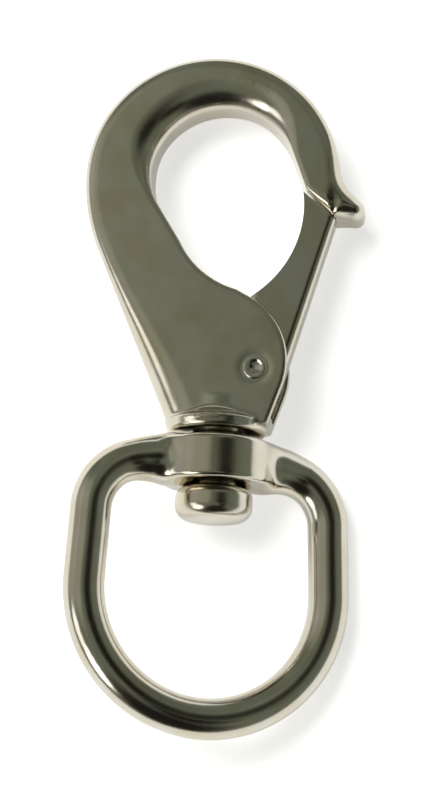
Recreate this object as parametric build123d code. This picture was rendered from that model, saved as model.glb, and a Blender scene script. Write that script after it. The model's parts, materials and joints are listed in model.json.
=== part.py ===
from build123d import *
import os
from math import acos, asin, atan2, cos, degrees, hypot, radians, sin, sqrt, tan

# A swivel snap hook: a cast hook with a forked root, a folded sheet gate on a rivet,
# a torsion spring in the fork, and a swivel eye held on by the hook's headed shank.
# It is drawn flat first: the swivel axis is Y, through x = 0, y = 0 lies inside the
# eye's boss, z = 0 is the hook's mid-plane and the gate's rivet runs along Z.
# At the end everything is tipped until it lies on its back on z = 0. Units are mm.

# bow: the outside and the opening are circles on different centres
bow_radius = 15.8
bow_x, bow_y = -1.65, 35.65
opening_radius = 9.0
opening_x, opening_y = -0.3, 36.25
hook_half_depth = 4.1

# nose: a slanted end face for the gate, and a nub outside it for the thumb
nose_lead = 21.5  # degrees between the nose's inner side and the swivel axis
nose_corner_x, nose_corner_y = 10.05, 34.3
nose_foot_x, nose_foot_y = 13.7, 31.2
nub_x, nub_y = 16.1, 32.2
nub_radius = 1.2
nub_flare = 45.0
nub_half_depth = 3.5
nub_round = 0.9
nub_end = -30.0
nub_root = 3.0
nub_sink = 0.05

# fork: two cheeks with a slot between them for the gate
spine_slope = 23.7
cheek_slope = 18.7
cheek_x, cheek_y, cheek_radius = -0.95, 12.3, 9.4
cheek_top_angle = 55.0
throat_x, throat_y, throat_radius = 4.8, 32.1, 11.1
throat_start = 205.5
throat_end = 255.0
slot_half_width = 2.7
slot_wall_top = (-4.0, 26.5)
slot_wall_foot = (0.8, 7.5)
slot_floor_x, slot_floor_y = 2.6, 5.8
outer_round = 2.1
inner_round = 1.3
fit_gap = 0.03
cutter_spare = 3.0

# root, collar, shank and headed end, all round about the swivel axis
root_y = 4.6
root_half_width = 5.95
collar_y = 3.75
collar_lip = 5.5
collar_radius = 6.25
collar_bulge_y = 4.65
collar_top_radius, collar_top_y = 5.85, 5.6
cove_middle_radius, cove_middle_y = 4.75, 6.25
cove_radius, cove_y = 4.3, 7.2
shank_radius = 3.0
head_radius = 4.7
head_top_y = -2.8
head_rim_y = -6.1
head_bottom_y = -7.2
head_round = 1.1

# rivet and gate
pivot_x, pivot_y = 4.6, 11.45
rivet_radius = 1.2
rivet_ring_radius = 1.45
rivet_dimple = 1.0
rivet_dimple_depth = 0.35
rivet_proud = 0.3
rivet_ring_round = 0.24
sink_depth = 0.4
sink_radius = 1.7
gate_half_width = 2.4
sheet = 0.8
gate_back_round = 1.0
gate_slope = 16.1
heel_radius = 3.36
heel_end = -120.0
gate_edge_x, gate_edge_y, gate_edge_radius = -3.95, 32.3, 13.75
gate_edge_low_y = 20.6
heel_left_end = 170.0
heel_middle = -100.0
running_gap = 0.05
nose_gap = 0.2

# torsion spring
wire_radius = 0.28
coil_radius = 2.2
coil_pitch = 0.66
coil_turns = 3
back_leg_length = 9.0
wall_leg_x, wall_leg_y = -1.75, 19.0

# swivel eye
boss_radius = 6.8
boss_top_y = 2.85
boss_bottom_y = -2.5
boss_edge = 0.6
bar_radius = 2.5
arm_radius = 3.1
arm_tip_radius = 2.3
loop_radius = 15.35
loop_x, loop_y = -0.3, -15.4
shoulder_x = 4.0
arm_end_x = 11.0
side_lean = 2.5
shoulder_slope = 5.0
shoulder_y = 0.5
corner_radius = 6.8
lowest_side = (-60, 10)  # degrees round the loop between which it can touch the table


def on_circle(x, y, radius, angle):
    """A point on a circle, at an angle in degrees from +X."""
    return (x + radius * cos(radians(angle)), y + radius * sin(radians(angle)))


def plate(outline, half_depth):
    """A closed outline drawn on XY, as a plate of that depth each way from the mid-plane."""
    return extrude(Plane.XY.offset(-half_depth) * make_face(outline), 2 * half_depth)


def hook_outline():
    """The hook seen from the front, without its nub: bow, spine, root, cheek, throat, nose."""
    foot_drop = bow_y - nose_foot_y
    foot = (bow_x + sqrt(bow_radius**2 - foot_drop**2), nose_foot_y)
    bow_left = (bow_x - bow_radius, bow_y)
    bow = ThreePointArc(foot, (bow_x, bow_y + bow_radius), bow_left)
    # the spine runs straight to the root, and one arc joins it to the bow
    rise = (bow_radius - bow_x - root_half_width) / tan(radians(spine_slope))
    join_radius = (bow_y - root_y - rise) / tan(radians(spine_slope / 2))
    join = JernArc(bow_left, (0, -1), join_radius, spine_slope)
    spine = Line(join @ 1, (-root_half_width, root_y))
    cheek_low = on_circle(cheek_x, cheek_y, cheek_radius, -cheek_slope)
    root_right = cheek_low[0] - (cheek_low[1] - root_y) * tan(radians(cheek_slope))
    root = Line(spine @ 1, (root_right, root_y))
    side = Line(root @ 1, cheek_low)
    cheek_middle = on_circle(cheek_x, cheek_y, cheek_radius, (cheek_top_angle - cheek_slope) / 2)
    cheek_high = on_circle(cheek_x, cheek_y, cheek_radius, cheek_top_angle)
    cheek = ThreePointArc(cheek_low, cheek_middle, cheek_high)
    throat_low = on_circle(throat_x, throat_y, throat_radius, throat_end)
    cheek_top = Line(cheek @ 1, throat_low)
    throat_middle = on_circle(throat_x, throat_y, throat_radius, (throat_start + throat_end) / 2)
    throat_high = on_circle(throat_x, throat_y, throat_radius, throat_start)
    throat = ThreePointArc(throat_low, throat_middle, throat_high)
    opening_low = on_circle(opening_x, opening_y, opening_radius, throat_start)
    wall = Line(throat @ 1, opening_low)
    opening_top = (opening_x, opening_y + opening_radius)
    opening_high = on_circle(opening_x, opening_y, opening_radius, nose_lead)
    opening = ThreePointArc(opening_low, opening_top, opening_high)
    lead = Line(opening @ 1, (nose_corner_x, nose_corner_y))
    face = Line(lead @ 1, foot)
    return [bow, join, spine, root, side, cheek, cheek_top, throat, wall, opening, lead, face]


def nub_outline():
    """The thumb nub that stands out of the nose, with its root inside the bow."""
    flare_end = on_circle(nub_x, nub_y, nub_radius, nub_flare)
    flare_start = (bow_x + bow_radius - nub_sink, flare_end[1] + flare_end[0] - bow_x - bow_radius)
    # the underside leaves the nub as a tangent through the foot of the nose's face
    back_x, back_y = nose_foot_x - nub_x, nose_foot_y - nub_y
    swing = degrees(atan2(back_y, back_x) + acos(nub_radius / hypot(back_x, back_y)))
    nub_low = on_circle(nub_x, nub_y, nub_radius, swing)
    nub = ThreePointArc(nub_low, on_circle(nub_x, nub_y, nub_radius, nub_end), flare_end)
    inside = (nose_corner_x + nub_root, nose_corner_y)
    edge = Polyline(flare_end, flare_start, inside, (nose_foot_x, nose_foot_y), nub_low)
    return [nub, edge]


def rim_edges(solid, half_depth, path):
    """The edges of a plate's two faces that follow a path drawn on z = 0."""
    found = []
    for edge in solid.edges():
        middle = edge.position_at(0.5)
        on_face = abs(abs(middle.Z) - half_depth) < 0.01
        if on_face and path.distance_to(Vector(middle.X, middle.Y, 0)) < 0.01:
            found.append(edge)
    return found


def hook_plate():
    """The flat part of the casting: narrow rounding inside, wide rounding outside."""
    lines = hook_outline()
    outside = Wire(lines[:3])
    inside = Wire(lines[4:])
    blank = plate(lines, hook_half_depth)
    rounded = blank.fillet(outer_round, rim_edges(blank, hook_half_depth, outside))
    rounded = rounded.fillet(inner_round, rim_edges(rounded, hook_half_depth, inside))
    nub = plate(nub_outline(), nub_half_depth)
    tip = Wire([nub_outline()[0]])
    nub = nub.fillet(nub_round, rim_edges(nub, nub_half_depth, tip))
    return rounded + nub


def slot():
    """The space between the cheeks, from the spine out to the gate's side."""
    wall_top, wall_foot = slot_wall_top, slot_wall_foot
    beyond = cheek_x + cheek_radius + cutter_spare
    path = Polyline((beyond, slot_floor_y), (slot_floor_x, slot_floor_y), wall_foot, wall_top,
                    (beyond, wall_top[1]), close=True)
    return plate(path, slot_half_width)


def turned(points):
    """A solid of revolution about the swivel axis, from (radius, y) points joined in order."""
    return revolve(make_face(Polyline(*points, close=True)), Axis.Y)


def collar():
    """The rounded collar under the fork, with a cove above it."""
    start = (0, collar_y)
    lip = (collar_lip, collar_y)
    bulge = ThreePointArc(lip, (collar_radius, collar_bulge_y), (collar_top_radius, collar_top_y))
    cove = ThreePointArc(bulge @ 1, (cove_middle_radius, cove_middle_y), (cove_radius, cove_y))
    edge = Polyline(cove @ 1, (0, cove_y), start, lip)
    return revolve(make_face([bulge, cove, edge]), Axis.Y)


def shank():
    """The shank through the eye, and the head closed over on its end."""
    pin = turned([(0, collar_y), (shank_radius, collar_y), (shank_radius, head_top_y), (0, head_top_y)])
    side = Polyline((0, head_top_y), (head_radius, head_top_y), (head_radius, head_rim_y))
    # half-way out, a dome this flat has fallen by a quarter of its height
    crown_y = head_bottom_y + (head_rim_y - head_bottom_y) / 4
    crown = ThreePointArc(side @ 1, (head_radius / 2, crown_y), (0, head_bottom_y))
    head = revolve(make_face([side, crown, Line(crown @ 1, side @ 0)]), Axis.Y)
    rim = [e for e in head.edges() if abs(e.position_at(0.5).Y - head_rim_y) < 0.01]
    return pin + head.fillet(head_round, rim)


def rivet_sinks(radius_gap):
    """Holes and countersinks for the rivet, or the rivet's own tapered heads at no gap."""
    shapes = []
    for side in (-1, 1):
        mouth = sink_radius + radius_gap
        hole = rivet_radius + radius_gap
        cone = Cone(hole, mouth, sink_depth, align=(Align.CENTER, Align.CENTER, Align.MIN))
        cone = Plane.XY.offset(hook_half_depth - sink_depth) * cone
        shapes.append(cone if side == 1 else mirror(cone, Plane.XY))
    return shapes


def hook_body():
    body = hook_plate() + collar() - slot() + shank()
    hole = Cylinder(rivet_radius + fit_gap, 2 * hook_half_depth + cutter_spare)
    for cutter in [hole] + rivet_sinks(fit_gap):
        body -= Pos(pivot_x, pivot_y) * cutter
    return body


def pivot_rivet():
    """A tubular rivet: its ends are flared into the countersinks and dished."""
    rivet = Cylinder(rivet_radius, 2 * hook_half_depth)
    for head in rivet_sinks(0):
        rivet += head
    for side in (-1, 1):
        ring = Cylinder(rivet_ring_radius, rivet_proud, align=(Align.CENTER, Align.CENTER, Align.MIN))
        ring = fillet(ring.edges().sort_by(Axis.Z)[-1], rivet_ring_round)
        dimple_radius = (rivet_dimple**2 + rivet_dimple_depth**2) / (2 * rivet_dimple_depth)
        ball_z = rivet_proud - rivet_dimple_depth + dimple_radius
        dimple = Pos(0, 0, ball_z) * Sphere(dimple_radius)
        lift = Pos(0, 0, hook_half_depth)
        end = lift * ring
        cut = lift * dimple
        rivet += end if side == 1 else mirror(end, Plane.XY)
        rivet -= cut if side == 1 else mirror(cut, Plane.XY)
    return Pos(pivot_x, pivot_y) * rivet


def gate():
    """Sheet folded into a channel: the back outside, two flanges inwards, round at the heel."""
    along = Vector(sin(radians(gate_slope)), cos(radians(gate_slope)))
    outward = Vector(along.Y, -along.X)
    pivot = Vector(pivot_x, pivot_y)
    face = Vector(nose_foot_x - nose_corner_x, nose_foot_y - nose_corner_y).normalized()
    face_out = Vector(face.Y, -face.X)
    start = Vector(nose_corner_x, nose_corner_y) + face_out * nose_gap

    def on_face(offset):
        """Where a line parallel to the gate's back meets the gate's end."""
        base = pivot + outward * offset
        step = (start - base).dot(face_out) / along.dot(face_out)
        return base + along * step

    tip_out = on_face(heel_radius)
    tip_in = on_face(heel_radius - sheet)
    heel_out = pivot + outward * heel_radius
    heel_in = pivot + outward * (heel_radius - sheet)
    edge_centre = Vector(gate_edge_x, gate_edge_y)
    # the flange's free edge: an arc from the gate's end, then straight to the heel
    edge_low = Vector(gate_edge_x + sqrt(gate_edge_radius**2 - (gate_edge_y - gate_edge_low_y) ** 2),
                      gate_edge_low_y)
    reach = (start - edge_centre).dot(face_out)
    tip_edge = edge_centre + face_out * reach + face * sqrt(gate_edge_radius**2 - reach**2)
    middle = edge_centre + ((tip_edge + edge_low) * 0.5 - edge_centre).normalized() * gate_edge_radius
    heel_left = on_circle(pivot_x, pivot_y, heel_radius, heel_left_end)
    heel_bottom = on_circle(pivot_x, pivot_y, heel_radius, heel_middle)
    flange_lines = [Line(tip_out, heel_out), ThreePointArc(heel_out, heel_bottom, heel_left),
                    Line(heel_left, edge_low), ThreePointArc(edge_low, middle, tip_edge),
                    Line(tip_edge, tip_out)]
    blank = plate(flange_lines, gate_half_width)
    bend = Wire(flange_lines[:2])
    blank = blank.fillet(gate_back_round, rim_edges(blank, gate_half_width, bend))
    # the channel inside the fold is open towards the spine and at both ends
    inner_radius = heel_radius - sheet
    heel_start = degrees(atan2(outward.Y, outward.X))
    arc = ThreePointArc(heel_in, on_circle(pivot_x, pivot_y, inner_radius, (heel_start + heel_end) / 2),
                        on_circle(pivot_x, pivot_y, inner_radius, heel_end))
    above = tip_in + along * heel_radius
    clear = 3 * heel_radius
    nose_corner = Vector(nose_corner_x, nose_corner_y)
    far = Polyline(arc @ 1, on_circle(pivot_x, pivot_y, clear, heel_end),
                   on_circle(pivot_x, pivot_y, clear, 180),
                   nose_corner - outward * clear + along * heel_radius, above, heel_in)
    channel = plate([arc, far], gate_half_width - sheet)
    hole = Pos(pivot_x, pivot_y) * Cylinder(rivet_radius + running_gap, 2 * gate_half_width + cutter_spare)
    return blank - channel - hole


def gate_spring():
    """A torsion spring round the rivet: one leg along the gate's back, one on the slot's wall."""
    leg_x, leg_y = wall_leg_x - pivot_x, wall_leg_y - pivot_y
    leg_length = sqrt(hypot(leg_x, leg_y) ** 2 - coil_radius**2)
    first = degrees(atan2(leg_y, leg_x) + atan2(leg_length, coil_radius))
    last = 360 - gate_slope
    height = coil_pitch * (coil_turns + (last - first) / 360)
    coil = Helix(coil_pitch, height, coil_radius)
    coil = Pos(pivot_x, pivot_y, -height / 2) * Rot(0, 0, first) * coil
    wall_leg = Line((wall_leg_x, wall_leg_y, -height / 2), coil @ 0)
    along = Vector(sin(radians(gate_slope)), cos(radians(gate_slope)))
    back_leg = Line(coil @ 1, (coil @ 1) + along * back_leg_length)
    pieces = []
    for run in (wall_leg, coil, back_leg):
        section = Plane(origin=run @ 0, z_dir=run % 0) * Circle(wire_radius)
        pieces.append(sweep(section, path=run))
    for joint in (coil @ 0, coil @ 1):
        pieces.append(Pos(joint.X, joint.Y, joint.Z) * Sphere(wire_radius))
    return pieces[0] + pieces[1:]


def swivel_eye():
    """The eye: a bored boss round the shank, and a loop of round bar bent from it."""
    lean = radians(side_lean)
    slope = radians(shoulder_slope)
    sides = []
    arms = []
    for way in (-1, 1):
        side_low = Vector(loop_x + way * loop_radius * cos(lean), loop_y + loop_radius * sin(lean))
        side_way = Vector(-way * sin(lean), cos(lean))
        inner = Vector(way * shoulder_x, shoulder_y)
        shoulder_way = Vector(way * cos(slope), -sin(slope))
        # the corner is where the shoulder's line meets the side's line
        cross = shoulder_way.X * side_way.Y - shoulder_way.Y * side_way.X
        gap = side_low - inner
        reach = (gap.X * side_way.Y - gap.Y * side_way.X) / cross
        corner = inner + shoulder_way * reach
        sides.append(FilletPolyline(inner, corner, side_low, radius=corner_radius))
        arm_length = (arm_end_x - shoulder_x) / cos(slope)
        arm = Cone(arm_radius, arm_tip_radius, arm_length, align=(Align.CENTER, Align.CENTER, Align.MIN))
        arms.append(Plane(origin=inner, z_dir=shoulder_way) * arm)
    bottom = ThreePointArc(sides[0] @ 1, (loop_x, loop_y - loop_radius), sides[1] @ 1)
    path = Wire(sides[0].edges() + [bottom] + sides[1].edges())
    section = Plane(origin=path @ 0, z_dir=path % 0) * Circle(bar_radius)
    loop = sweep(section, path=path)
    height = boss_top_y - boss_bottom_y
    boss = Cylinder(boss_radius, height)
    boss = fillet(boss.edges().filter_by(GeomType.CIRCLE), boss_edge)
    boss = Pos(0, (boss_top_y + boss_bottom_y) / 2) * Rot(90, 0, 0) * boss
    bore = Rot(90, 0, 0) * Cylinder(shank_radius + running_gap, 4 * height)
    return boss + loop + arms - bore


def rest_tilt():
    """Degrees that the swivel axis dips, so that the boss's rim and the bow's edge both touch."""
    boss_y, boss_z = boss_top_y - boss_edge, boss_edge - boss_radius
    bow_edge_y, bow_edge_z = bow_y + bow_radius - outer_round, outer_round - hook_half_depth
    run, climb = bow_edge_y - boss_y, bow_edge_z - boss_z
    return degrees(atan2(climb, run) + asin((boss_edge - outer_round) / hypot(run, climb)))


def rest_turn(tilt):
    """Degrees that the eye swivels until the lower side of its loop touches too."""
    dip, level = sin(radians(tilt)), cos(radians(tilt))
    floor = (boss_edge - boss_radius) * level - (boss_top_y - boss_edge) * dip - boss_edge
    turns = []
    for angle in range(*lowest_side):
        x, y = on_circle(loop_x, loop_y, loop_radius, angle)
        turns.append(degrees(asin((-floor - bar_radius - y * dip) / (x * level))))
    return min(turns)


tilt = rest_tilt()
eye_turn = rest_turn(tilt)
assembly = {
    "hook_body": hook_body(),
    "pivot_rivet": pivot_rivet(),
    "gate": gate(),
    "gate_spring": gate_spring(),
    "swivel_eye": Rot(0, eye_turn, 0) * swivel_eye(),
}
tipped = {name: Rot(-tilt, 0, 0) * shape for name, shape in assembly.items()}
extent = Compound(list(tipped.values())).bounding_box()
origin = Pos(-extent.center().X, -extent.center().Y, -extent.min.Z)

os.makedirs("parts", exist_ok=True)
for name, shape in tipped.items():
    export_step(origin * shape, f"parts/{name}.step")
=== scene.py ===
import json
import math

import bpy
import numpy as np
from bpy.props import FloatProperty, FloatVectorProperty, IntProperty, PointerProperty, StringProperty
from mathutils import Matrix, Vector


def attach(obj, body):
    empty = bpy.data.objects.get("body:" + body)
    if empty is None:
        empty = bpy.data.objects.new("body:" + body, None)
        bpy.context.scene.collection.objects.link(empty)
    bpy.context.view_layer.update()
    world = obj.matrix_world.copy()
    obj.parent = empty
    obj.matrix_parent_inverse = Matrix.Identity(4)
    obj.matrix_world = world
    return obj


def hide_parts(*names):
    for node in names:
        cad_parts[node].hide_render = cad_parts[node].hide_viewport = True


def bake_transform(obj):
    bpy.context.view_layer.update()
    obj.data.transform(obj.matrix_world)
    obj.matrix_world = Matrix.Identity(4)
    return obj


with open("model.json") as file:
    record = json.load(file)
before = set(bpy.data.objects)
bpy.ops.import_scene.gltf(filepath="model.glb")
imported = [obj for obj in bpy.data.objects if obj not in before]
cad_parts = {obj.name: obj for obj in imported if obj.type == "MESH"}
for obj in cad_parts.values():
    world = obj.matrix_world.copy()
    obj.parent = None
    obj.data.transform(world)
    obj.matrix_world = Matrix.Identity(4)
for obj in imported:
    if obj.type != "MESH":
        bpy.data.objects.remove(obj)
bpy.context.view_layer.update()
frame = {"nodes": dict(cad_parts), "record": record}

# A swivel snap hook: a cast hook, a folded gate on a rivet, a torsion spring and a swivel eye.
# Shapes are drawn flat, in millimetres: the swivel axis is Y, the rivet runs along Z,
# and Flat carries them to where the part lies. Everything placed in the scene is in metres.

bl_info = {
    "name": "Swivel Snap Hook",
    "version": (1, 0, 0),
    "blender": (4, 5, 0),
    "location": "View3D > Sidebar > Snap Hook",
    "description": "Builds a nickel-plated snap hook with a sprung gate and a swivel eye",
    "category": "Add Mesh",
}

MM = 0.001
PICTURE_LONG_SIDE = 800
SENSOR_MM = 36.0
JOINTS = {joint["name"]: joint for joint in frame["record"]["behaviour"]["joints"]}


class Flat:
    """The flat drawing's own axes, taken from the hook's two joints."""

    origin = np.array(JOINTS["eye_swivel"]["pos_m"])
    along = np.array(JOINTS["eye_swivel"]["axis"])
    front = np.array(JOINTS["gate_hinge"]["axis"])
    across = np.cross(along, front)
    turn = np.stack([across, along, front])

    @classmethod
    def placed(cls, points):
        """Points of the flat drawing in millimetres, as points of the scene in metres."""
        return cls.origin + np.asarray(points, float) * MM @ cls.turn

    @classmethod
    def drawn(cls, points):
        """Points of the scene in metres, as points of the flat drawing in millimetres."""
        return (np.asarray(points, float) - cls.origin) @ cls.turn.T / MM


PIVOT = Flat.drawn(JOINTS["gate_hinge"]["pos_m"])


def eye_swing():
    """Degrees that the eye is swivelled at rest: its widest side lies furthest from the axis."""
    node = frame["nodes"]["swivel_eye"]
    corners = Flat.drawn([vertex.co for vertex in node.data.vertices])
    far = corners[np.argmax(np.hypot(corners[:, 0], corners[:, 2]))]
    return math.degrees(math.atan2(far[2], -far[0]))


# ---------------------------------------------------------------- outlines


def on_circle(x, y, radius, angle):
    """A point on a circle, at an angle in degrees from +X."""
    return (x + radius * math.cos(math.radians(angle)), y + radius * math.sin(math.radians(angle)))


def from_line(x, y, start, end):
    """Distance from a straight stretch."""
    run = (end[0] - start[0], end[1] - start[1])
    share = ((x - start[0]) * run[0] + (y - start[1]) * run[1]) / (run[0] ** 2 + run[1] ** 2)
    share = np.clip(share, 0, 1)
    return np.hypot(x - start[0] - share * run[0], y - start[1] - share * run[1])


def from_arc(x, y, centre, radius, first, last):
    """Distance from a round stretch that runs from one angle to the other, in degrees."""
    middle = math.radians((first + last) / 2)
    half = math.radians(abs(last - first) / 2)
    off_x, off_y = x - centre[0], y - centre[1]
    swing = np.angle(np.exp(1j * (np.arctan2(off_y, off_x) - middle)))
    swing = np.clip(swing, -half, half) + middle
    ring = np.abs(np.hypot(off_x, off_y) - radius)
    at_end = np.hypot(off_x - radius * np.cos(swing), off_y - radius * np.sin(swing))
    within = np.abs(np.angle(np.exp(1j * (np.arctan2(off_y, off_x) - middle)))) <= half
    return np.where(within, ring, at_end)


def away(x, y, stretches):
    """Distance from the nearest of several stretches."""
    found = None
    for kind, *values in stretches:
        near = from_line(x, y, *values) if kind == "line" else from_arc(x, y, *values)
        found = near if found is None else np.minimum(found, near)
    return found


def corners_of(stretches, per_arc=60):
    """The stretches as one closed polygon, to tell the inside from the outside."""
    points = []
    for kind, *values in stretches:
        if kind == "line":
            points.append(values[0])
            continue
        centre, radius, first, last = values
        for step in range(per_arc):
            points.append(on_circle(*centre, radius, first + (last - first) * step / per_arc))
    return points


def inside(x, y, polygon):
    """True where a point lies within a polygon."""
    odd = np.zeros(np.broadcast(x, y).shape, bool)
    for (ax, ay), (bx, by) in zip(polygon, polygon[1:] + polygon[:1]):
        if ay == by:
            continue
        crosses = ((ay > y) != (by > y)) & (x < (bx - ax) * (y - ay) / (by - ay) + ax)
        odd ^= crosses
    return odd


def signed(x, y, stretches, polygon):
    """Distance from a closed outline, negative inside it."""
    return np.where(inside(x, y, polygon), -1.0, 1.0) * away(x, y, stretches)


# ---------------------------------------------------------------- solid fields


def joined(a, b, fillet):
    """Two solids as one, with a fillet where they meet."""
    share = np.clip(0.5 + 0.5 * (b - a) / fillet, 0, 1)
    return b + (a - b) * share - fillet * share * (1 - share)


def cut(a, b, fillet):
    """The first solid less the second, with the edge eased by a fillet."""
    return -joined(-a, b, fillet)


def eased_plate(edge, depth, half_depth, width, fall):
    """A plate whose edge is an ellipse, width in from the outline and fall down from the face."""
    u = (edge + width) / width
    v = (np.abs(depth) - half_depth + fall) / fall
    corner = np.hypot(np.maximum(u, 0), np.maximum(v, 0)) + np.minimum(np.maximum(u, v), 0)
    return (corner - 1) * np.minimum(width, fall)


def eased_disc(radial, level, radius, half_height, ease):
    """A round disc with eased rims, about an axis that radial is measured from."""
    u, v = radial - radius + ease, np.abs(level) - half_height + ease
    return np.hypot(np.maximum(u, 0), np.maximum(v, 0)) + np.minimum(np.maximum(u, v), 0) - ease


def smooth_step(value, low, high):
    """0 below low, 1 above high, and a smooth rise between."""
    share = np.clip((value - low) / (high - low), 0, 1)
    return share * share * (3 - 2 * share)


# ---------------------------------------------------------------- skins

CELL_CORNERS = [(i, j, k) for i in (0, 1) for j in (0, 1) for k in (0, 1)]


def skin(field, low, high, step):
    """The zero surface of a field as vertices and four-sided faces, one vertex to a grid cell."""
    axes = [np.arange(a, b + step, step) for a, b in zip(low, high)]
    x, y, z = np.meshgrid(*axes, indexing="ij", sparse=True)
    value = np.ascontiguousarray(np.broadcast_to(field(x, y, z), [len(a) for a in axes]))
    solid = value < 0
    cells = tuple(n - 1 for n in value.shape)
    crossings = np.zeros(cells)
    total = np.zeros(cells + (3,))

    def part(array, corner):
        return array[tuple(slice(c, c + n) for c, n in zip(corner, cells))]

    for corner in CELL_CORNERS:
        for axis in range(3):
            if corner[axis]:
                continue
            other = tuple(c + (k == axis) for k, c in enumerate(corner))
            a, b = part(value, corner), part(value, other)
            mixed = part(solid, corner) != part(solid, other)
            share = np.where(mixed, a / np.where(mixed, a - b, 1), 0)
            crossings += mixed
            for k in range(3):
                total[..., k] += mixed * (corner[k] + (share if k == axis else 0))
    used = crossings > 0
    number = np.full(cells, -1)
    number[used] = np.arange(used.sum())
    place = np.stack(np.nonzero(used), 1) + total[used] / crossings[used][:, None]
    points = np.array(low) + place * step
    faces = []
    for axis in range(3):
        u, v = (axis + 1) % 3, (axis + 2) % 3
        first = np.take(solid, range(0, value.shape[axis] - 1), axis)
        second = np.take(solid, range(1, value.shape[axis]), axis)
        where = np.stack(np.nonzero(first != second), 1)
        where = where[(where[:, u] > 0) & (where[:, v] > 0)]
        where = where[(where[:, u] < cells[u]) & (where[:, v] < cells[v])]
        ring = []
        for du, dv in ((1, 1), (0, 1), (0, 0), (1, 0)):
            cell = where.copy()
            cell[:, u] -= du
            cell[:, v] -= dv
            ring.append(number[tuple(cell.T)])
        quad = np.stack(ring, 1)
        outward = first[tuple(where.T)]
        faces.append(np.where(outward[:, None], quad, quad[:, ::-1]))
    return settled(field, points, step), np.concatenate(faces).tolist()


def settled(field, points, step, rounds=5):
    """Points moved on to the field's zero surface."""
    reach = step * 0.02
    for _ in range(rounds):
        value = field(*points.T)
        slope = np.stack([
            (field(*(points + shift).T) - field(*(points - shift).T)) / (2 * reach)
            for shift in np.eye(3) * reach
        ], 1)
        move = -value[:, None] * slope / np.maximum((slope ** 2).sum(1), 1e-6)[:, None]
        length = np.linalg.norm(move, axis=1)[:, None]
        points = points + move * np.minimum(1, step / np.maximum(length, 1e-9))
    return points


def piece(name, points, faces, finish):
    """A smooth-shaded mesh from points of the flat drawing."""
    mesh = bpy.data.meshes.new(name)
    mesh.from_pydata(Flat.placed(points).tolist(), [], faces)
    mesh.update()
    mesh.shade_smooth()
    mesh.materials.append(finish)
    made = bpy.data.objects.new(name, mesh)
    bpy.context.scene.collection.objects.link(made)
    return made


# ---------------------------------------------------------------- finishes


def linear(colour):
    """An sRGB hex colour as linear red, green, blue and alpha."""
    parts = [int(colour[i:i + 2], 16) / 255 for i in (1, 3, 5)]
    return [c / 12.92 if c <= 0.04045 else ((c + 0.055) / 1.055) ** 2.4 for c in parts] + [1.0]


def add(tree, kind, links=None, **settings):
    """A node with its settings and the sockets that feed it."""
    node = tree.nodes.new(kind)
    for name, value in settings.items():
        if name[0].isupper():
            node.inputs[name.replace("_", " ")].default_value = value
        else:
            setattr(node, name, value)
    for name, source in (links or {}).items():
        tree.links.new(source, node.inputs[name])
    return node


def blank(name):
    material = bpy.data.materials.new(name)
    material.use_nodes = True
    material.node_tree.nodes.clear()
    return material, material.node_tree


def plated(name, colour, roughness, ripple_mm, ripple_depth_mm, grain_mm, grain_depth_mm, stain):
    """Nickel plate over polished metal, with the ripple and grain that its making left.

    Real tumbling grain is under a tenth of a millimetre: it is drawn coarser, so that it shows.
    """
    material, tree = blank(name)
    where = add(tree, "ShaderNodeTexCoord").outputs["Object"]
    ripple = add(tree, "ShaderNodeTexNoise", {"Vector": where},
                 Scale=1 / (ripple_mm * MM), Detail=1.0, Roughness=0.4)
    grain = add(tree, "ShaderNodeTexNoise", {"Vector": where},
                Scale=1 / (grain_mm * MM), Detail=3.0, Roughness=0.6)
    swell = add(tree, "ShaderNodeBump", {"Height": ripple.outputs["Fac"]},
                Strength=1.0, Distance=ripple_depth_mm * MM)
    fine = add(tree, "ShaderNodeBump", {"Height": grain.outputs["Fac"], "Normal": swell.outputs["Normal"]},
               Strength=1.0, Distance=grain_depth_mm * MM)
    # the plate yellows a little in soft clouds a few millimetres across
    cloud = add(tree, "ShaderNodeTexNoise", {"Vector": where}, Scale=1 / (5 * MM), Detail=2.0)
    tone = add(tree, "ShaderNodeValToRGB", {"Fac": cloud.outputs["Fac"]})
    tone.color_ramp.elements[0].position = 0.35
    tone.color_ramp.elements[0].color = linear(stain)
    tone.color_ramp.elements[1].position = 0.6
    tone.color_ramp.elements[1].color = linear(colour)
    spread = add(tree, "ShaderNodeMapRange", {"Value": grain.outputs["Fac"]},
                 From_Min=0.3, From_Max=0.7, To_Min=roughness * 0.85, To_Max=roughness * 1.15)
    shader = add(tree, "ShaderNodeBsdfPrincipled",
                 {"Base Color": tone.outputs["Color"], "Normal": fine.outputs["Normal"],
                  "Roughness": spread.outputs["Result"]}, Metallic=1.0)
    add(tree, "ShaderNodeOutputMaterial", {"Surface": shader.outputs["BSDF"]})
    return material


def nickel_on_casting(colours):
    """Nickel plate on a tumbled zinc casting: a soft, slightly wavy mirror with a warm grey cast."""
    return plated("nickel_on_casting", colours.casting, 0.2, 4.0, 0.035, 0.5, 0.002, colours.casting_stain)


def nickel_on_sheet(colours):
    """Nickel plate on folded steel sheet: flatter than the casting, faintly drawn along its length."""
    return plated("nickel_on_sheet", colours.sheet, 0.22, 6.0, 0.02, 0.4, 0.0016, colours.casting_stain)


def nickel_on_rivet(colours):
    """Nickel plate on a tubular rivet: bright where the setting tool pressed it."""
    return plated("nickel_on_rivet", colours.casting, 0.14, 1.5, 0.006, 0.3, 0.0005, colours.casting)


def spring_steel(colours):
    """Bare drawn music wire: darker than the plate, with fine lines along it."""
    return plated("spring_steel", colours.wire, 0.28, 1.0, 0.004, 0.15, 0.001, colours.wire)


def nickel_on_bar(colours):
    """Nickel plate on the cast eye: tumbled brighter than the hook, with the same soft waves."""
    return plated("nickel_on_bar", colours.casting, 0.16, 4.5, 0.03, 0.5, 0.001, colours.casting_stain)


# ---------------------------------------------------------------- sizes


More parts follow.
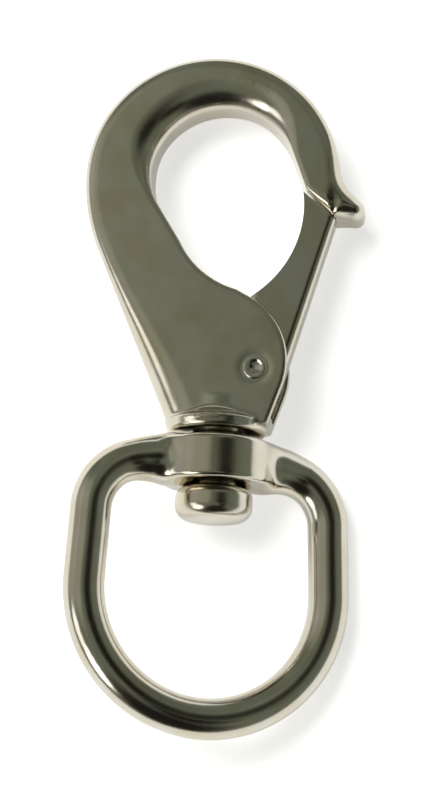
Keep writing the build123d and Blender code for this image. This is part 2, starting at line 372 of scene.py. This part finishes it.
class HookSizes(bpy.types.PropertyGroup):
    """Sizes of the cast hook, in millimetres on the flat drawing."""

    bow_radius: FloatProperty(name="Bow radius", description="Outside of the bow", default=15.8)
    opening_radius: FloatProperty(name="Opening radius", description="Inside of the bow", default=9.0)
    half_depth: FloatProperty(name="Half depth", description="Mid-plane to either face", default=4.1)
    outer_width: FloatProperty(name="Outer rounding", description="How far in the outer rounding runs",
                               default=1.6)
    spine_width: FloatProperty(name="Spine rounding", description="The same beside the root", default=3.7)
    bowl_width: FloatProperty(name="Bowl width", description="Rounding that a ring bears on", default=3.5)
    bowl_fall: FloatProperty(name="Bowl fall", description="How far that rounding falls", default=2.6)
    crisp: FloatProperty(name="Crisp edge", description="Rounding of the cheeks and throat", default=0.45)
    step: FloatProperty(name="Grid step", description="Spacing of the skin's vertices", default=0.23)


class EyeSizes(bpy.types.PropertyGroup):
    """Sizes of the swivel eye, in millimetres on the flat drawing."""

    bar_radius: FloatProperty(name="Bar radius", description="Half the bar's thickness", default=2.5)
    loop_radius: FloatProperty(name="Loop radius", description="Bend at the foot, to the bar's middle",
                               default=15.35)
    corner_radius: FloatProperty(name="Corner radius", description="Bends beside the boss", default=6.8)
    boss_radius: FloatProperty(name="Boss radius", description="Outside of the boss", default=6.8)
    boss_fillet: FloatProperty(name="Boss fillet", description="How softly the arms leave the boss",
                               default=1.6)
    step: FloatProperty(name="Grid step", description="Spacing of the skin's vertices", default=0.22)


class SpringSizes(bpy.types.PropertyGroup):
    """Sizes of the torsion spring, in millimetres on the flat drawing."""

    wire_radius: FloatProperty(name="Wire radius", description="Half the wire's thickness", default=0.28)
    coil_radius: FloatProperty(name="Coil radius", description="To the middle of the wire", default=2.2)
    pitch: FloatProperty(name="Pitch", description="Rise of one turn", default=0.66)
    turns: IntProperty(name="Turns", description="Whole turns round the rivet", default=3)
    leg: FloatProperty(name="Leg", description="Length of the leg along the gate's back", default=9.0)


class Colours(bpy.types.PropertyGroup):
    """Colours of the finishes, as sRGB hex values."""

    casting: StringProperty(name="Casting", description="Nickel on the castings", default="#D3CFC4")
    casting_stain: StringProperty(name="Stain", description="Where the plate has yellowed", default="#CEC6B4")
    sheet: StringProperty(name="Sheet", description="Nickel on the gate", default="#D1CDC3")
    wire: StringProperty(name="Wire", description="Bare spring wire", default="#8F8C86")
    floor: StringProperty(name="Floor", description="The pale floor", default="#F2F2F0")
    overhead: StringProperty(name="Overhead", description="The dim room above", default="#6E7366")
    ceiling: StringProperty(name="Ceiling", description="Its lighter side", default="#A2A495")
    wall: StringProperty(name="Wall", description="The wall on the left", default="#AEADA5")
    dark: StringProperty(name="Dark", description="The dark side of the room", default="#1E1D18")


class StageSettings(bpy.types.PropertyGroup):
    """Camera and lamps."""

    rise: FloatProperty(name="Rise", description="Camera's lean towards the eye, in degrees", default=12.648)
    swing: FloatProperty(name="Swing", description="Camera's lean to the right, in degrees", default=4.998)
    roll: FloatProperty(name="Roll", description="Camera's roll, in degrees", default=2.48)
    distance: FloatProperty(name="Distance", description="Camera to the hook, in millimetres", default=300.0)
    scale: FloatProperty(name="Scale", description="Picture points to a millimetre", default=8.156)
    aim: FloatVectorProperty(name="Aim", description="Flat point at the middle of the picture", size=2,
                             default=(-0.639, 8.207))
    window: FloatProperty(name="Window", description="Brightness of the window", default=2.6)
    second_window: FloatProperty(name="Second window", description="Brightness of the one beside it",
                                 default=1.6)


# ---------------------------------------------------------------- the hook

OPENING = (-0.3, 36.25)
BOW = (-1.65, 35.65)
NOSE_LEAD = 21.5
NOSE_CORNER = (10.05, 34.3)
NOSE_FOOT_Y = 31.2
SPINE_SLOPE = 23.7
ROOT_HALF_WIDTH = 5.95
ROOT_Y = 4.6
ROOT_DRAWN_Y = 1.0
CHEEK = (-0.95, 12.3)
CHEEK_RADIUS = 9.4
CHEEK_SLOPE = 18.7
CHEEK_TOP = 55.0
THROAT = (4.8, 32.1)
THROAT_RADIUS = 11.1
THROAT_START = 205.5
THROAT_END = 255.0
SLOT_HALF_WIDTH = 2.7
SLOT_WALL_TOP = (-4.0, 26.5)
SLOT_WALL_FOOT = (0.8, 7.5)
SLOT_FLOOR = (2.6, 5.8)
SLOT_SPARE = 3.0
NUB = (16.1, 32.2)
NUB_RADIUS = 1.2
NUB_HALF_DEPTH = 3.7
NUB_ROOT = 4.0
BOWL_MIDDLE = 105.0  # degrees round the opening; the fades are measured from here
BOWL_LEFT_FADE, BOWL_RIGHT_FADE = (45, 105), (-92, -40)
SPINE_WIDENS = (8, 26)  # between these heights
BEAD_Y, BEAD_RADIUS, BEAD_HALF_HEIGHT = 4.6, 6.25, 0.85
NECK_RADIUS, NECK_FOOT, NECK_TOP = 4.1, 5.2, 6.9
SHANK_RADIUS, SHANK_MIDDLE, SHANK_HALF_LENGTH = 3.0, 0.4, 4.4
HEAD_RADIUS, HEAD_MIDDLE, HEAD_HALF_HEIGHT = 4.7, -5.0, 2.2
HEAD_DOME, HEAD_EASE = 0.75, 1.3
DISH_FLATNESS, DISH_DEPTH = 0.06, 0.12


def hook_stretches(sizes):
    """The hook's outline in two runs: the outside, then the root, cheek, throat and opening."""
    radius = sizes.bow_radius
    foot = (BOW[0] + math.sqrt(radius ** 2 - (BOW[1] - NOSE_FOOT_Y) ** 2), NOSE_FOOT_Y)
    foot_angle = math.degrees(math.atan2(foot[1] - BOW[1], foot[0] - BOW[0]))
    rise = (radius - BOW[0] - ROOT_HALF_WIDTH) / math.tan(math.radians(SPINE_SLOPE))
    join = (BOW[1] - ROOT_Y - rise) / math.tan(math.radians(SPINE_SLOPE / 2))
    join_centre = (BOW[0] - radius + join, BOW[1])
    spine_top = on_circle(*join_centre, join, 180 + SPINE_SLOPE)
    # both sides are drawn on past the root, which is then cut off square
    spine_run = (ROOT_Y - ROOT_DRAWN_Y) * math.tan(math.radians(SPINE_SLOPE))
    spine_foot = (spine_run - ROOT_HALF_WIDTH, ROOT_DRAWN_Y)
    cheek_low = on_circle(*CHEEK, CHEEK_RADIUS, -CHEEK_SLOPE)
    cheek_run = (cheek_low[1] - ROOT_DRAWN_Y) * math.tan(math.radians(CHEEK_SLOPE))
    root_right = (cheek_low[0] - cheek_run, ROOT_DRAWN_Y)
    cheek_high = on_circle(*CHEEK, CHEEK_RADIUS, CHEEK_TOP)
    throat_low = on_circle(*THROAT, THROAT_RADIUS, THROAT_END)
    throat_high = on_circle(*THROAT, THROAT_RADIUS, THROAT_START)
    opening_low = on_circle(*OPENING, sizes.opening_radius, THROAT_START)
    opening_high = on_circle(*OPENING, sizes.opening_radius, NOSE_LEAD)
    outside = [
        ("arc", BOW, radius, foot_angle, 180),
        ("arc", join_centre, join, 180, 180 + SPINE_SLOPE),
        ("line", spine_top, spine_foot),
    ]
    within = [
        ("line", spine_foot, root_right),
        ("line", root_right, cheek_low),
        ("arc", CHEEK, CHEEK_RADIUS, -CHEEK_SLOPE, CHEEK_TOP),
        ("line", cheek_high, throat_low),
        ("arc", THROAT, THROAT_RADIUS, THROAT_END, THROAT_START),
        ("line", throat_high, opening_low),
        ("arc", OPENING, sizes.opening_radius, THROAT_START, NOSE_LEAD),
        ("line", opening_high, NOSE_CORNER),
        ("line", NOSE_CORNER, foot),
    ]
    return outside, within, foot


def hook_field(sizes):
    """The cast hook as a field: plate, nub, collar, neck, shank and head, less the slot."""
    outside, within, foot = hook_stretches(sizes)
    polygon = corners_of(outside + within)
    mouth = CHEEK[0] + CHEEK_RADIUS + SLOT_SPARE
    slot = [(mouth, SLOT_FLOOR[1]), SLOT_FLOOR, SLOT_WALL_FOOT, SLOT_WALL_TOP, (mouth, SLOT_WALL_TOP[1])]
    slot_sides = [("line", a, b) for a, b in zip(slot, slot[1:] + slot[:1])]
    back = (foot[0] - NUB[0], foot[1] - NUB[1])
    swing = math.degrees(math.atan2(back[1], back[0]) + math.acos(NUB_RADIUS / math.hypot(*back)))
    nub_low, nub_high = on_circle(*NUB, NUB_RADIUS, swing), on_circle(*NUB, NUB_RADIUS, 45)
    nub_root = (foot[0] - NUB_ROOT, nub_high[1] + nub_high[0] - foot[0] + NUB_ROOT)
    nub_sides = [
        ("arc", NUB, NUB_RADIUS, swing, 45),
        ("line", nub_high, nub_root),
        ("line", nub_root, foot),
        ("line", foot, nub_low),
    ]
    nub_polygon = corners_of(nub_sides)

    def field(x, y, z):
        out, inn = away(x, y, outside), away(x, y, within)
        edge = np.where(inside(x, y, polygon), -1.0, 1.0) * np.minimum(out, inn)
        nub = signed(x, y, nub_sides, nub_polygon)
        # the flare runs softly into the bow, and the underside leaves the nose sharply
        edge = joined(edge, nub, 0.25 + 1.0 * smooth_step(y, NUB[1] - 0.6, NUB[1] + 1.0))
        tip = smooth_step(x, NOSE_CORNER[0] + 2.5, NUB[0] - 0.5)
        # the outer rounding widens down the spine; the bowl's fades out at the throat and the nose
        spine = 1 - smooth_step(y, *SPINE_WIDENS)
        outer = sizes.outer_width + (sizes.spine_width - sizes.outer_width) * spine
        round_bow = np.arctan2(y - OPENING[1], x - OPENING[0]) - math.radians(BOWL_MIDDLE)
        turn = np.degrees(np.angle(np.exp(1j * round_bow)))
        bowl = (1 - smooth_step(turn, *BOWL_LEFT_FADE)) * smooth_step(turn, *BOWL_RIGHT_FADE)
        inner_width = sizes.crisp + (sizes.bowl_width - sizes.crisp) * bowl
        inner_fall = sizes.crisp + (sizes.bowl_fall - sizes.crisp) * bowl
        # the nose's face is eased more towards the nub, which is rounded nearly to a finger's end
        outer = outer + 0.3 * tip
        nose = smooth_step(x, NOSE_CORNER[0] + 0.5, NOSE_CORNER[0] + 4)
        inner_width = inner_width + (outer - inner_width) * nose
        inner_fall = inner_fall + (outer - inner_fall) * nose
        near_out = out < inn
        width = np.where(near_out, outer, inner_width)
        fall = np.where(near_out, outer * (0.9 + 0.3 * tip), inner_fall)
        half_depth = sizes.half_depth - (sizes.half_depth - NUB_HALF_DEPTH) * tip
        body = eased_plate(edge, z, half_depth, width, fall)
        body = cut(body, y - ROOT_Y, 0.3)
        radial = np.hypot(x, z)
        bead = eased_disc(radial, y - BEAD_Y, BEAD_RADIUS, BEAD_HALF_HEIGHT, BEAD_HALF_HEIGHT - 0.01)
        # the neck is a cove: it narrows upwards in a curve until it meets the plate's faces
        cove = np.clip((NECK_TOP - y) / (NECK_TOP - NECK_FOOT), 0, 1) ** 1.5
        neck_radius = NECK_RADIUS + (BEAD_RADIUS - NECK_RADIUS) * cove
        neck = np.maximum((radial - neck_radius) * 0.7, np.abs(y - NECK_TOP + 0.4) - 1.5)
        body = joined(body, joined(bead, neck, 0.6), 0.3)
        body = cut(body, np.maximum(signed(x, y, slot_sides, slot), np.abs(z) - SLOT_HALF_WIDTH), 0.3)
        # the plate is pressed in a hair round the rivet
        from_pivot = np.hypot(x - PIVOT[0], y - PIVOT[1])
        dish = np.hypot(from_pivot * DISH_FLATNESS, np.abs(z) - sizes.half_depth) - DISH_DEPTH
        shank = eased_disc(radial, y - SHANK_MIDDLE, SHANK_RADIUS, SHANK_HALF_LENGTH, 0.2)
        dome = HEAD_DOME * (radial / HEAD_RADIUS) ** 2 * (y < HEAD_MIDDLE)
        head = eased_disc(radial, y - HEAD_MIDDLE - dome, HEAD_RADIUS, HEAD_HALF_HEIGHT, HEAD_EASE)
        return np.minimum(cut(body, dish, 0.05), joined(shank, head, 0.3))

    return field


def finish_node(name, finish):
    """A CAD piece that is shown as it is, in its own finish."""
    node = frame["nodes"][name]
    node.data.materials.clear()
    node.data.materials.append(finish)


class SNAPHOOK_OT_hook(bpy.types.Operator):
    """Build the cast hook with its nub, collar, shank and head"""

    bl_idname = "snaphook.hook"
    bl_label = "Cast Hook"

    def execute(self, context):
        sizes = context.scene.hook_sizes
        points, faces = skin(hook_field(sizes), (-18.4, -8.2, -7.0), (18.4, 52.4, 7.0), sizes.step)
        hook = piece("cast_hook", points, faces, nickel_on_casting(context.scene.hook_colours))
        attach(hook, "hook")
        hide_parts("hook_body")
        return {"FINISHED"}


class SNAPHOOK_OT_gate(bpy.types.Operator):
    """Finish the folded gate and its rivet"""

    bl_idname = "snaphook.gate"
    bl_label = "Gate and Rivet"

    def execute(self, context):
        finish_node("gate", nickel_on_sheet(context.scene.hook_colours))
        finish_node("pivot_rivet", nickel_on_rivet(context.scene.hook_colours))
        return {"FINISHED"}


# ---------------------------------------------------------------- the spring


WALL_LEG = (-1.75, 19.0)
GATE_SLOPE = 16.1
STEPS_A_TURN = 40


def spring_route(sizes):
    """The wire's middle line: the leg on the slot's wall, the coil, the leg on the gate's back."""
    leg_end = (WALL_LEG[0] - PIVOT[0], WALL_LEG[1] - PIVOT[1])
    leg = math.sqrt(math.hypot(*leg_end) ** 2 - sizes.coil_radius ** 2)
    first = math.degrees(math.atan2(leg_end[1], leg_end[0]) + math.atan2(leg, sizes.coil_radius))
    last = 360 - GATE_SLOPE
    turned = 360 * sizes.turns + last - first
    height = sizes.pitch * turned / 360
    route = [(PIVOT[0] + leg_end[0], PIVOT[1] + leg_end[1], -height / 2)]
    steps = STEPS_A_TURN * sizes.turns
    for step in range(steps + 1):
        share = step / steps
        x, y = on_circle(PIVOT[0], PIVOT[1], sizes.coil_radius, first + turned * share)
        route.append((x, y, height * (share - 0.5)))
    lean = math.radians(GATE_SLOPE)
    x, y, z = route[-1]
    route.append((x + sizes.leg * math.sin(lean), y + sizes.leg * math.cos(lean), z))
    return np.array(route), height


def wire(route, radius, sides=10):
    """A round wire along a route, closed at both ends."""
    along = np.gradient(route, axis=0)
    along /= np.linalg.norm(along, axis=1)[:, None]
    lift = np.array([0, 0, 1.0])
    across = np.cross(along, lift)
    across /= np.linalg.norm(across, axis=1)[:, None]
    up = np.cross(across, along)
    points = []
    for place, a, b in zip(route, across, up):
        for side in range(sides):
            angle = 2 * math.pi * side / sides
            points.append(place + radius * (a * math.cos(angle) + b * math.sin(angle)))
    faces = []
    for ring in range(len(route) - 1):
        for side in range(sides):
            after = (side + 1) % sides
            low, high = ring * sides, (ring + 1) * sides
            faces.append((low + side, low + after, high + after, high + side))
    last = (len(route) - 1) * sides
    faces.append(tuple(reversed(range(sides))))
    faces.append(tuple(range(last, last + sides)))
    return points, faces


class SNAPHOOK_OT_spring(bpy.types.Operator):
    """Wind the torsion spring round the rivet"""

    bl_idname = "snaphook.spring"
    bl_label = "Torsion Spring"

    def execute(self, context):
        sizes = context.scene.spring_sizes
        route, height = spring_route(sizes)
        points, faces = wire(route, sizes.wire_radius)
        spring = piece("torsion_spring", points, faces, spring_steel(context.scene.hook_colours))
        # the wall leg bears on the hook and the back leg on the gate; the coil's two ends on the rivet's axis
        # are worked out, but nothing here uses them
        ends = [Flat.placed((PIVOT[0], PIVOT[1], side * (height / 2 - 0.1))) for side in (-1, 1)]
        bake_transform(spring)
        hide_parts("gate_spring")
        return {"FINISHED"}


# ---------------------------------------------------------------- the eye

LOOP = (-0.3, -15.4)
SHOULDER = (4.0, 0.5)
SHOULDER_SLOPE = 5.0
SIDE_LEAN = 2.5
BOSS_TOP = 2.85
BOSS_BOTTOM = -2.5
BOSS_EASE = 0.6
BORE_RADIUS = 3.05
BORE_END = -10.0
ARM_EXTRA = 0.45  # the bar is this much fuller, in radius, beside the boss
ARM_FADE_X, ARM_FADE_Y = (7.0, 11.5), (-6, -3)


def eye_side(sizes, way):
    """One side of the loop: shoulder, corner and side, as stretches, from the boss down."""
    lean, slope = math.radians(SIDE_LEAN), math.radians(SHOULDER_SLOPE)
    reach_x, reach_y = sizes.loop_radius * math.cos(lean), sizes.loop_radius * math.sin(lean)
    low = np.array((LOOP[0] + way * reach_x, LOOP[1] + reach_y))
    side_way = np.array((-way * math.sin(lean), math.cos(lean)))
    inner = np.array((way * SHOULDER[0], SHOULDER[1]))
    shoulder_way = np.array((way * math.cos(slope), -math.sin(slope)))
    gap = low - inner
    cross = shoulder_way[0] * side_way[1] - shoulder_way[1] * side_way[0]
    reach = (gap[0] * side_way[1] - gap[1] * side_way[0]) / cross
    corner = inner + shoulder_way * reach
    half_turn = math.acos(-float(shoulder_way @ side_way)) / 2
    setback = sizes.corner_radius * math.tan(half_turn)
    bisector = -shoulder_way - side_way
    bisector /= np.linalg.norm(bisector)
    centre = corner + bisector * sizes.corner_radius / math.cos(half_turn)
    starts = corner - shoulder_way * setback
    ends = corner - side_way * setback
    angles = [math.degrees(math.atan2(p[1] - centre[1], p[0] - centre[0])) for p in (starts, ends)]
    if way < 0 and angles[1] < 0:
        angles[1] += 360
    return [
        ("line", tuple(inner), tuple(starts)),
        ("arc", tuple(centre), sizes.corner_radius, *angles),
        ("line", tuple(ends), tuple(low)),
    ]


def eye_field(sizes, swing):
    """The eye as a field: the loop of round bar, fuller beside the boss, and the bored boss."""
    loop = [("arc", LOOP, sizes.loop_radius, 180 - SIDE_LEAN, 360 + SIDE_LEAN)]
    for way in (-1, 1):
        loop += eye_side(sizes, way)
    cos, sin = math.cos(math.radians(swing)), math.sin(math.radians(swing))

    def field(x, y, z):
        x, z = x * cos - z * sin, x * sin + z * cos
        off = away(x, y, loop)
        full = (1 - smooth_step(np.abs(x), *ARM_FADE_X)) * smooth_step(y, *ARM_FADE_Y)
        bar = np.hypot(off, z) - sizes.bar_radius - ARM_EXTRA * full
        radial = np.hypot(x, z)
        middle, half = (BOSS_TOP + BOSS_BOTTOM) / 2, (BOSS_TOP - BOSS_BOTTOM) / 2
        boss = eased_disc(radial, y - middle, sizes.boss_radius, half, BOSS_EASE)
        solid = joined(boss, bar, sizes.boss_fillet)
        # the bore runs through the boss and stops short of the loop's foot
        bore = np.maximum(radial - BORE_RADIUS, BORE_END - y)
        return cut(solid, bore, 0.2)

    return field


class SNAPHOOK_OT_eye(bpy.types.Operator):
    """Build the swivel eye, with its boss round the shank"""

    bl_idname = "snaphook.eye"
    bl_label = "Swivel Eye"

    def execute(self, context):
        sizes = context.scene.eye_sizes
        field = eye_field(sizes, eye_swing())
        points, faces = skin(field, (-19.0, -34.2, -10.4), (19.0, 4.6, 10.4), sizes.step)
        eye = piece("cast_eye", points, faces, nickel_on_bar(context.scene.hook_colours))
        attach(eye, "eye")
        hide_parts("swivel_eye")
        return {"FINISHED"}


# ---------------------------------------------------------------- the stage


def pale_floor(colours):
    """Matt white card, shown white where light falls on it and grey in the shadow."""
    material, tree = blank("white_card")
    card = add(tree, "ShaderNodeBsdfDiffuse", Color=linear(colours.floor))
    ray = add(tree, "ShaderNodeLightPath")
    lift = add(tree, "ShaderNodeMapRange", {"Value": ray.outputs["Is Glossy Ray"]}, To_Min=0.6, To_Max=0.35)
    glow = add(tree, "ShaderNodeEmission", {"Strength": lift.outputs["Result"]}, Color=(1, 1, 1, 1))
    seen = add(tree, "ShaderNodeMath", operation="MAXIMUM")
    tree.links.new(ray.outputs["Is Camera Ray"], seen.inputs[0])
    tree.links.new(ray.outputs["Is Glossy Ray"], seen.inputs[1])
    through = add(tree, "ShaderNodeMath", operation="MAXIMUM")
    tree.links.new(seen.outputs["Value"], through.inputs[0])
    tree.links.new(ray.outputs["Is Transmission Ray"], through.inputs[1])
    lifted = add(tree, "ShaderNodeAddShader")
    tree.links.new(card.outputs["BSDF"], lifted.inputs[0])
    tree.links.new(glow.outputs["Emission"], lifted.inputs[1])
    mixed = add(tree, "ShaderNodeMixShader", {"Fac": through.outputs["Value"]})
    tree.links.new(card.outputs["BSDF"], mixed.inputs[1])
    tree.links.new(lifted.outputs["Shader"], mixed.inputs[2])
    add(tree, "ShaderNodeOutputMaterial", {"Surface": mixed.outputs["Shader"]})
    return material


def patch(tree, direction, towards, inner, outer):
    """1 within inner degrees of a direction, 0 beyond outer degrees, smooth between."""
    unit = Vector(towards).normalized()
    facing = add(tree, "ShaderNodeVectorMath", operation="DOT_PRODUCT")
    tree.links.new(direction, facing.inputs[0])
    facing.inputs[1].default_value = unit
    shape = add(tree, "ShaderNodeMapRange", {"Value": facing.outputs["Value"]},
                interpolation_type="SMOOTHSTEP", From_Min=math.cos(math.radians(outer)),
                From_Max=math.cos(math.radians(inner)))
    return shape.outputs["Result"]


def blended(tree, share, below, above):
    """A colour mixed from two, by a share."""
    mix = add(tree, "ShaderNodeMix", data_type="RGBA")
    tree.links.new(share, mix.inputs[0])
    for socket, colour in ((6, below), (7, above)):
        if isinstance(colour, bpy.types.NodeSocket):
            tree.links.new(colour, mix.inputs[socket])
        else:
            mix.inputs[socket].default_value = colour
    return mix.outputs[2]


WINDOW_TINT = (1.0, 0.98, 0.94)


def room(colours, settings):
    """A dim room above, dark on the eye's side, white low down all round."""
    world = bpy.data.worlds.new("room")
    world.use_nodes = True
    tree = world.node_tree
    tree.nodes.clear()
    direction = add(tree, "ShaderNodeTexCoord").outputs["Generated"]
    up = add(tree, "ShaderNodeSeparateXYZ", {"Vector": direction}).outputs["Z"]
    overhead, dark = linear(colours.overhead), linear(colours.dark)
    windows = [[tint * light for tint in WINDOW_TINT] + [1.0]
               for light in (settings.window, settings.second_window)]
    # the side of the room beyond the eye is dark, and two windows stand beside it
    air = blended(tree, patch(tree, direction, (-0.5, 0.25, 0.85), 5, 30), overhead, linear(colours.ceiling))
    air = blended(tree, patch(tree, direction, (0.1, -0.85, 0.55), 18, 38), air, dark)
    air = blended(tree, patch(tree, direction, (0.42, 0.1, 0.85), 3, 24), air, dark)
    air = blended(tree, patch(tree, direction, (0.5, -0.35, 0.8), 4, 15), air, dark)
    air = blended(tree, patch(tree, direction, (-0.85, 0.3, 0.45), 8, 30), air, linear(colours.wall))
    air = blended(tree, patch(tree, direction, (-0.75, -0.7, 0.6), 12, 16), air, windows[0])
    air = blended(tree, patch(tree, direction, (-0.9, -0.3, 0.5), 10, 14), air, windows[1])
    low = add(tree, "ShaderNodeMapRange", {"Value": up}, interpolation_type="SMOOTHSTEP",
              From_Min=0.12, From_Max=0.02).outputs["Result"]
    air = blended(tree, low, air, (1, 1, 1, 1))
    # soft cloudy differences, as a room's walls and ceiling have
    cloud = add(tree, "ShaderNodeTexNoise", {"Vector": direction}, Scale=2.2, Detail=2.0)
    tone = add(tree, "ShaderNodeMapRange", {"Value": cloud.outputs["Fac"]},
               From_Min=0.3, From_Max=0.7, To_Min=0.75, To_Max=1.2)
    seen = add(tree, "ShaderNodeBackground", {"Color": air, "Strength": tone.outputs["Result"]})
    plain = add(tree, "ShaderNodeBackground", Color=(1, 1, 1, 1), Strength=1.0)
    ray = add(tree, "ShaderNodeLightPath")
    shown = add(tree, "ShaderNodeMixShader", {"Fac": ray.outputs["Is Camera Ray"]})
    tree.links.new(seen.outputs["Background"], shown.inputs[1])
    tree.links.new(plain.outputs["Background"], shown.inputs[2])
    add(tree, "ShaderNodeOutputWorld", {"Surface": shown.outputs["Shader"]})
    return world


def area_lamp(name, place, size, power):
    """A soft square lamp that points at the part."""
    lamp = bpy.data.lights.new(name, "AREA")
    lamp.size = size
    lamp.energy = power
    made = bpy.data.objects.new(name, lamp)
    made.location = place
    made.rotation_euler = (-Vector(place)).to_track_quat("-Z", "Y").to_euler()
    made.visible_glossy = False
    bpy.context.scene.collection.objects.link(made)
    return made


def looking(settings):
    """The camera, placed from its rise, swing, roll and distance about the flat drawing."""
    rise, swing, roll = (math.radians(a) for a in (settings.rise, settings.swing, settings.roll))
    back = np.array([math.sin(swing) * math.cos(rise), -math.sin(rise), math.cos(swing) * math.cos(rise)])
    right = np.cross((0, 1, 0), back)
    right /= np.linalg.norm(right)
    up = np.cross(back, right)
    right, up = (math.cos(roll) * right + math.sin(roll) * up, math.cos(roll) * up - math.sin(roll) * right)
    place = Flat.placed(np.array([settings.aim[0], settings.aim[1], 0]) + back * settings.distance)
    turn = Matrix([Vector(axis @ Flat.turn) for axis in (right, up, back)]).transposed()
    data = bpy.data.cameras.new("camera")
    data.sensor_width = SENSOR_MM
    data.lens = settings.scale * settings.distance / PICTURE_LONG_SIDE * SENSOR_MM
    data.clip_start, data.clip_end = 0.01, 10
    camera = bpy.data.objects.new("camera", data)
    camera.matrix_world = Matrix.Translation(Vector(place)) @ turn.to_4x4()
    bpy.context.scene.collection.objects.link(camera)
    return camera


class SNAPHOOK_OT_stage(bpy.types.Operator):
    """Lay the pale floor, and set the room, lamps and camera"""

    bl_idname = "snaphook.stage"
    bl_label = "Stage"

    def execute(self, context):
        scene = context.scene
        reach = 1.5
        mesh = bpy.data.meshes.new("floor")
        corners = [(-reach, -reach, 0), (reach, -reach, 0), (reach, reach, 0), (-reach, reach, 0)]
        mesh.from_pydata(corners, [], [(0, 1, 2, 3)])
        mesh.materials.append(pale_floor(scene.hook_colours))
        floor = bpy.data.objects.new("floor", mesh)
        scene.collection.objects.link(floor)
        scene.world = room(scene.hook_colours, scene.hook_stage)
        area_lamp("soft_lamp", (-0.35, 0.3, 0.75), 0.5, 6.0)
        scene.camera = looking(scene.hook_stage)
        scene.view_settings.view_transform = "Standard"
        return {"FINISHED"}


class SNAPHOOK_PT_panel(bpy.types.Panel):
    """Lists the pieces of the snap hook"""

    bl_label = "Snap Hook"
    bl_idname = "SNAPHOOK_PT_panel"
    bl_space_type = "VIEW_3D"
    bl_region_type = "UI"
    bl_category = "Snap Hook"

    def draw(self, context):
        for operator in OPERATORS:
            self.layout.operator(operator.bl_idname)
        for group in GROUPS:
            owner = getattr(context.scene, group)
            box = self.layout.box()
            for name in owner.__annotations__:
                box.prop(owner, name)


OPERATORS = (
    SNAPHOOK_OT_hook,
    SNAPHOOK_OT_gate,
    SNAPHOOK_OT_spring,
    SNAPHOOK_OT_eye,
    SNAPHOOK_OT_stage,
)
GROUPS = {
    "hook_sizes": HookSizes,
    "eye_sizes": EyeSizes,
    "spring_sizes": SpringSizes,
    "hook_colours": Colours,
    "hook_stage": StageSettings,
}


def register():
    for group in GROUPS.values():
        bpy.utils.register_class(group)
    for operator in OPERATORS:
        bpy.utils.register_class(operator)
    bpy.utils.register_class(SNAPHOOK_PT_panel)
    for name, group in GROUPS.items():
        setattr(bpy.types.Scene, name, PointerProperty(type=group))


def unregister():
    for name in GROUPS:
        delattr(bpy.types.Scene, name)
    bpy.utils.unregister_class(SNAPHOOK_PT_panel)
    for operator in reversed(OPERATORS):
        bpy.utils.unregister_class(operator)
    for group in reversed(list(GROUPS.values())):
        bpy.utils.unregister_class(group)


def main():
    register()
    bpy.ops.snaphook.hook()
    bpy.ops.snaphook.gate()
    bpy.ops.snaphook.spring()
    bpy.ops.snaphook.eye()
    bpy.ops.snaphook.stage()
    bpy.context.view_layer.update()


if __name__ == "__main__":
    main()
